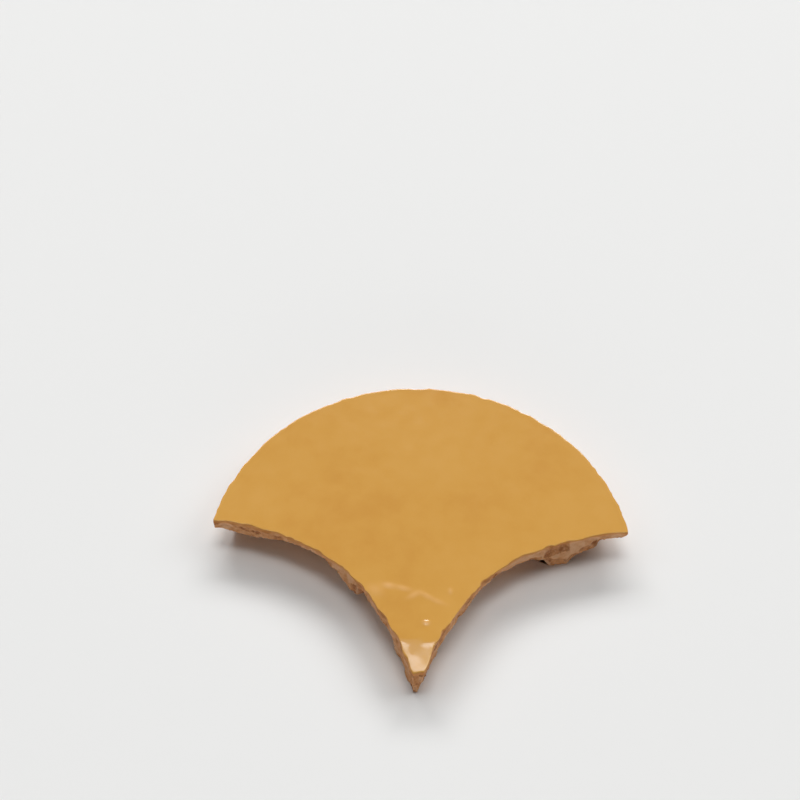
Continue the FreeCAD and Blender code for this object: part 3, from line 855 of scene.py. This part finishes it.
# %% Ochre earthenware glaze
GLAZE_COLOUR = "#CD9538"
GLAZE_DEEP = "#C98F32"
GLAZE_PALE = "#CF983D"
# paler glaze over the scars: thin glaze, and partly a painted highlight
GLAZE_THIN_AND_HIGHLIGHT = "#DEA862"
GLAZE_DRIFT = 24.0
GLAZE_MOTTLE = 5.0
PEEL_SIZE = 2.2
PEEL_HEIGHT = 0.02
PIT_SPACING = 7.0
PIT_HEIGHT = 0.03
glaze = new_material("ochre_earthenware_glaze")
on_tile = add_node(glaze, "ShaderNodeTexCoord").outputs["Object"]
drift = add_node(glaze, "ShaderNodeTexNoise", Vector=on_tile, Scale=per_metre(GLAZE_DRIFT), Detail=2.0,
                 Roughness=0.5).outputs["Fac"]
mottle = add_node(glaze, "ShaderNodeTexNoise", Vector=on_tile, Scale=per_metre(GLAZE_MOTTLE), Detail=4.0,
                  Roughness=0.6).outputs["Fac"]
both = add_node(glaze, "ShaderNodeMath", {"operation": "MULTIPLY_ADD"}, in_0=mottle, in_1=0.45,
                in_2=drift).outputs[0]
glaze_ramp = add_node(glaze, "ShaderNodeValToRGB", Fac=both)
glaze_stops = glaze_ramp.color_ramp.elements
glaze_stops[0].position = 0.52
glaze_stops[0].color = linear(GLAZE_DEEP)
glaze_stops[1].position = 0.92
glaze_stops[1].color = linear(GLAZE_PALE)
glaze_stops.new(0.72).color = linear(GLAZE_COLOUR)
# Over the scars the colour turns paler: partly thin glaze, partly a painted highlight.
thinned_and_highlit = add_node(glaze, "ShaderNodeAttribute", {"attribute_name": "thin_glaze_and_highlight"}).outputs["Fac"]
glaze_colour = add_node(glaze, "ShaderNodeMix", {"data_type": "RGBA"}, Factor=thinned_and_highlit,
                        in_6=glaze_ramp.outputs["Color"], in_7=linear(GLAZE_THIN_AND_HIGHLIGHT)).outputs[2]
peel = add_node(glaze, "ShaderNodeTexNoise", Vector=on_tile, Scale=per_metre(PEEL_SIZE), Detail=2.0,
                Roughness=0.5).outputs["Fac"]
peel_bump = add_node(glaze, "ShaderNodeBump", Strength=0.25, Distance=PEEL_HEIGHT * MM, Height=peel)
cells = add_node(glaze, "ShaderNodeTexVoronoi", Vector=on_tile, Scale=per_metre(PIT_SPACING),
                 Randomness=1.0)
pit = add_node(glaze, "ShaderNodeMapRange", Value=cells.outputs["Distance"], From_Min=0.03,
               From_Max=0.07, To_Min=0.0, To_Max=1.0).outputs["Result"]
pit_bump = add_node(glaze, "ShaderNodeBump", Strength=0.3, Distance=PIT_HEIGHT * MM, Height=pit,
                    Normal=peel_bump.outputs["Normal"])
gloss = add_node(glaze, "ShaderNodeMapRange", Value=mottle, From_Min=0.3, From_Max=0.7,
                 To_Min=0.10, To_Max=0.17).outputs["Result"]
glaze_shader = add_node(glaze, "ShaderNodeBsdfPrincipled", Base_Color=glaze_colour, Roughness=gloss,
                        IOR=1.5, Normal=pit_bump.outputs["Normal"])
add_node(glaze, "ShaderNodeOutputMaterial", Surface=glaze_shader.outputs["BSDF"])
print(f"{glaze.name}: {len(glaze.node_tree.nodes)} nodes")

# %% [markdown]
# The body is terracotta: low-fired red clay with sand in it, broken rather than cut. It has no
# gloss at all. Broken ridges are drawn dusty and pale, partly as dust and partly as a painted
# highlight; hollows keep the deeper colour, and just under the glaze the clay is stained orange
# where the glaze soaked in. The marked flakes' tones are painted light and shade. The sand is
# drawn coarser than the real grains, which would be lost in the picture.

# %% Broken terracotta
CLAY_PALE = "#DEAC81"
CLAY_MIDDLE = "#CD8F5B"
CLAY_DARK = "#9C6035"
# pale dust colour, used for the sand grains and for the painted highlight on ridges
CLAY_DUST_AND_HIGHLIGHT = "#DDB18A"
CLAY_STAINED = "#D08A3F"
CLAY_PATCH = 2.5
SAND_SPACING = 0.9
GRIT_SIZE = 0.6
GRIT_HEIGHT = 0.12
STAIN_DOWN = (0.2, 1.8)
clay = new_material("broken_terracotta")
on_clay = add_node(clay, "ShaderNodeTexCoord").outputs["Object"]
patches = add_node(clay, "ShaderNodeTexNoise", Vector=on_clay, Scale=per_metre(CLAY_PATCH), Detail=5.0,
                   Roughness=0.62).outputs["Fac"]
# Tone of each flake; on the marked flakes it is painted light and shade.
flake = add_node(clay, "ShaderNodeAttribute", {"attribute_name": "flake_tone_and_shade"}).outputs["Fac"]
clay_mix = add_node(clay, "ShaderNodeMath", {"operation": "MULTIPLY_ADD"}, in_0=flake, in_1=0.4,
                    in_2=patches).outputs[0]
clay_ramp = add_node(clay, "ShaderNodeValToRGB", Fac=clay_mix)
clay_stops = clay_ramp.color_ramp.elements
clay_stops[0].position = 0.45
clay_stops[0].color = linear(CLAY_DARK)
clay_stops[1].position = 0.90
clay_stops[1].color = linear(CLAY_PALE)
clay_stops.new(0.66).color = linear(CLAY_MIDDLE)
# Ridges are mixed towards the pale dust colour: partly dust, partly a painted highlight on the broken
# edges.
ridges = add_node(clay, "ShaderNodeAttribute", {"attribute_name": "ridge"}).outputs["Fac"]
dust_and_highlight = add_node(clay, "ShaderNodeMapRange", Value=ridges, From_Min=0.0, From_Max=0.9,
                 To_Min=0.0, To_Max=0.6).outputs["Result"]
dusted_and_highlit = add_node(clay, "ShaderNodeMix", {"data_type": "RGBA"}, Factor=dust_and_highlight,
                  in_6=clay_ramp.outputs["Color"], in_7=linear(CLAY_DUST_AND_HIGHLIGHT)).outputs[2]
below = add_node(clay, "ShaderNodeAttribute", {"attribute_name": "below_glaze"}).outputs["Fac"]
stain = add_node(clay, "ShaderNodeMapRange", Value=below, From_Min=STAIN_DOWN[0],
                 From_Max=STAIN_DOWN[1], To_Min=0.8, To_Max=0.0).outputs["Result"]
stained = add_node(clay, "ShaderNodeMix", {"data_type": "RGBA"}, Factor=stain, in_6=dusted_and_highlit,
                   in_7=linear(CLAY_STAINED)).outputs[2]
sand = add_node(clay, "ShaderNodeTexVoronoi", Vector=on_clay, Scale=per_metre(SAND_SPACING),
                Randomness=1.0)
grains = add_node(clay, "ShaderNodeMapRange", Value=sand.outputs["Distance"], From_Min=0.0,
                  From_Max=0.28, To_Min=0.3, To_Max=0.0).outputs["Result"]
grained = add_node(clay, "ShaderNodeMix", {"data_type": "RGBA"}, Factor=grains, in_6=stained,
                   in_7=linear(CLAY_DUST_AND_HIGHLIGHT)).outputs[2]
grit = add_node(clay, "ShaderNodeTexNoise", Vector=on_clay, Scale=per_metre(GRIT_SIZE), Detail=4.0,
                Roughness=0.7).outputs["Fac"]
grit_bump = add_node(clay, "ShaderNodeBump", Strength=0.7, Distance=GRIT_HEIGHT * MM, Height=grit)
clay_shader = add_node(clay, "ShaderNodeBsdfPrincipled", Base_Color=grained, Roughness=0.92,
                       IOR=1.45, Normal=grit_bump.outputs["Normal"])
add_node(clay, "ShaderNodeOutputMaterial", Surface=clay_shader.outputs["BSDF"])
print(f"{clay.name}: {len(clay.node_tree.nodes)} nodes")

# %% [markdown]
# The skin takes both materials, glaze first, because its faces were numbered that way. It rides on
# the part's only body and stands for the CAD model's only node.

# %% Dress the tile
tile.data.materials.append(glaze)
tile.data.materials.append(clay)
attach(tile, "root")
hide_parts("scale_tile")
print(f"{tile.name}: {clay_faces.sum()} faces of clay, {len(clay_faces) - clay_faces.sum()} of glaze")

# %% [markdown]
# The stage is a sheet of pale card in a white room. The camera and the glaze see the room bright,
# but it gives the scene only a little light: the lamps do the rest, and so the shadows keep their
# depth.

# %% Floor and room
FLOOR_SIDE = 6.0              # metres
FLOOR_COLOUR = "#E9E9E8"
LIGHT_LEVEL = 0.915
WORLD_SHARE = 0.030
BACKDROP_LEVEL = 0.82
card = new_material("pale_card")
card_shader = add_node(card, "ShaderNodeBsdfPrincipled", Base_Color=linear(FLOOR_COLOUR),
                       Roughness=0.9)
add_node(card, "ShaderNodeOutputMaterial", Surface=card_shader.outputs["BSDF"])
half = FLOOR_SIDE / 2
floor_corners = np.array([[-half, -half, 0], [half, -half, 0], [half, half, 0], [-half, half, 0]])
floor = make_piece("floor", floor_corners, [[0, 1, 2, 3]])
floor.data.materials.append(card)

sky = bpy.data.worlds.new("soft_sky")
sky.use_nodes = True
sky.node_tree.nodes.clear()
rays = add_node(sky, "ShaderNodeLightPath").outputs
direct = add_node(sky, "ShaderNodeMath", {"operation": "MAXIMUM"}, in_0=rays["Is Camera Ray"],
                  in_1=rays["Is Glossy Ray"]).outputs[0]
seen = add_node(sky, "ShaderNodeMath", {"operation": "MAXIMUM"}, in_0=direct,
                in_1=rays["Is Transmission Ray"]).outputs[0]
strength = add_node(sky, "ShaderNodeMapRange", Value=seen, To_Min=WORLD_SHARE * LIGHT_LEVEL,
                    To_Max=BACKDROP_LEVEL).outputs["Result"]
background = add_node(sky, "ShaderNodeBackground", Color=linear("#FFFFFF"), Strength=strength)
add_node(sky, "ShaderNodeOutputWorld", Surface=background.outputs["Background"])
bpy.context.scene.world = sky
print(f"{floor.name}: {FLOOR_SIDE:.0f} m square, under {sky.name}")

# %% [markdown]
# Most light comes over the tile's rim, from a wide strip behind it, so the shadows fall towards
# the camera. Two boxes hang overhead: the level face doesn't mirror them to the camera, but the
# drooping tip does, and turns pale. One at each side and a low one in front open up the shadows.

# %% Softboxes
LAMP_REACH = 12.0             # metres
SOFTBOXES = [
    # name, azimuth from straight behind, elevation, width and height, all in degrees, and share
    ("back_strip", -2, 36, 58, 16, 0.625),
    ("top_softbox", 0, 76, 26, 22, 0.060),
    ("small_softbox", 0, 83, 26, 14, 0.250),
    ("front_fill", 180, 9, 60, 14, 0.030),
    ("right_softbox", 65, 40, 30, 30, 0.170),
    ("left_softbox", -75, 45, 30, 30, 0.070),
]


def hang_softbox(name, azimuth, elevation, width, height, share):
    """A lamp LAMP_REACH from the tile, turned to it. Its share is the part of the floor's light
    that it gives: power = share * level * pi^2 * reach^2 / sin(elevation)."""
    turn, rise = math.radians(azimuth), math.radians(elevation)
    direction = Vector((math.sin(turn) * math.cos(rise), math.cos(turn) * math.cos(rise),
                        math.sin(rise)))
    data = bpy.data.lights.new(name, "AREA")
    data.shape = "RECTANGLE"
    data.size = 2 * LAMP_REACH * math.tan(math.radians(width / 2))
    data.size_y = 2 * LAMP_REACH * math.tan(math.radians(height / 2))
    data.energy = share * LIGHT_LEVEL * math.pi**2 * LAMP_REACH**2 / math.sin(rise)
    lamp = bpy.data.objects.new(name, data)
    bpy.context.scene.collection.objects.link(lamp)
    lamp.location = direction * LAMP_REACH
    lamp.rotation_mode = "QUATERNION"
    lamp.rotation_quaternion = direction.to_track_quat("Z", "Y")


for softbox in SOFTBOXES:
    hang_softbox(*softbox)
print(f"{len(SOFTBOXES)} softboxes, {LAMP_REACH:.0f} m from the tile")

# %% [markdown]
# The camera stands where the photographer's did. Its place and angles were found by fitting the
# arcs of the tile to the picture: 50 degrees down, a slight roll, and a lens of about 74 mm.

# %% Camera, in millimetres and degrees
CAMERA_FROM_RIM_CENTRE = (-8.957, -271.086, 390.766 + THICKNESS)
CAMERA_DOWN = math.radians(50.146)
CAMERA_ROLL = math.radians(1.936)
CAMERA_YAW = math.radians(0.3)
FOCAL_PIXELS = 1650.36
IMAGE_SIDE = 800
SENSOR_WIDTH = 36.0
camera_data = bpy.data.cameras.new("camera")
camera_data.sensor_width = SENSOR_WIDTH
camera_data.lens = FOCAL_PIXELS / IMAGE_SIDE * SENSOR_WIDTH
camera = bpy.data.objects.new("camera", camera_data)
bpy.context.scene.collection.objects.link(camera)
forward = Vector((math.sin(CAMERA_YAW) * math.cos(CAMERA_DOWN),
                  math.cos(CAMERA_YAW) * math.cos(CAMERA_DOWN), -math.sin(CAMERA_DOWN)))
level_right = forward.cross(Vector((0, 0, 1))).normalized()
level_up = level_right.cross(forward)
right = level_right * math.cos(CAMERA_ROLL) + level_up * math.sin(CAMERA_ROLL)
up = level_up * math.cos(CAMERA_ROLL) - level_right * math.sin(CAMERA_ROLL)
camera_place = (Vector(CAMERA_FROM_RIM_CENTRE) + Vector((0, RIM_CENTRE_Y, 0))) * MM
camera_turn = Matrix((right, up, -forward)).transposed().to_4x4()
camera.matrix_world = Matrix.Translation(camera_place) @ camera_turn
bpy.context.scene.camera = camera
bpy.context.scene.view_settings.view_transform = "Standard"
print(f"lens {camera_data.lens:.1f} mm, {camera_place.length:.2f} m from the frame's origin")
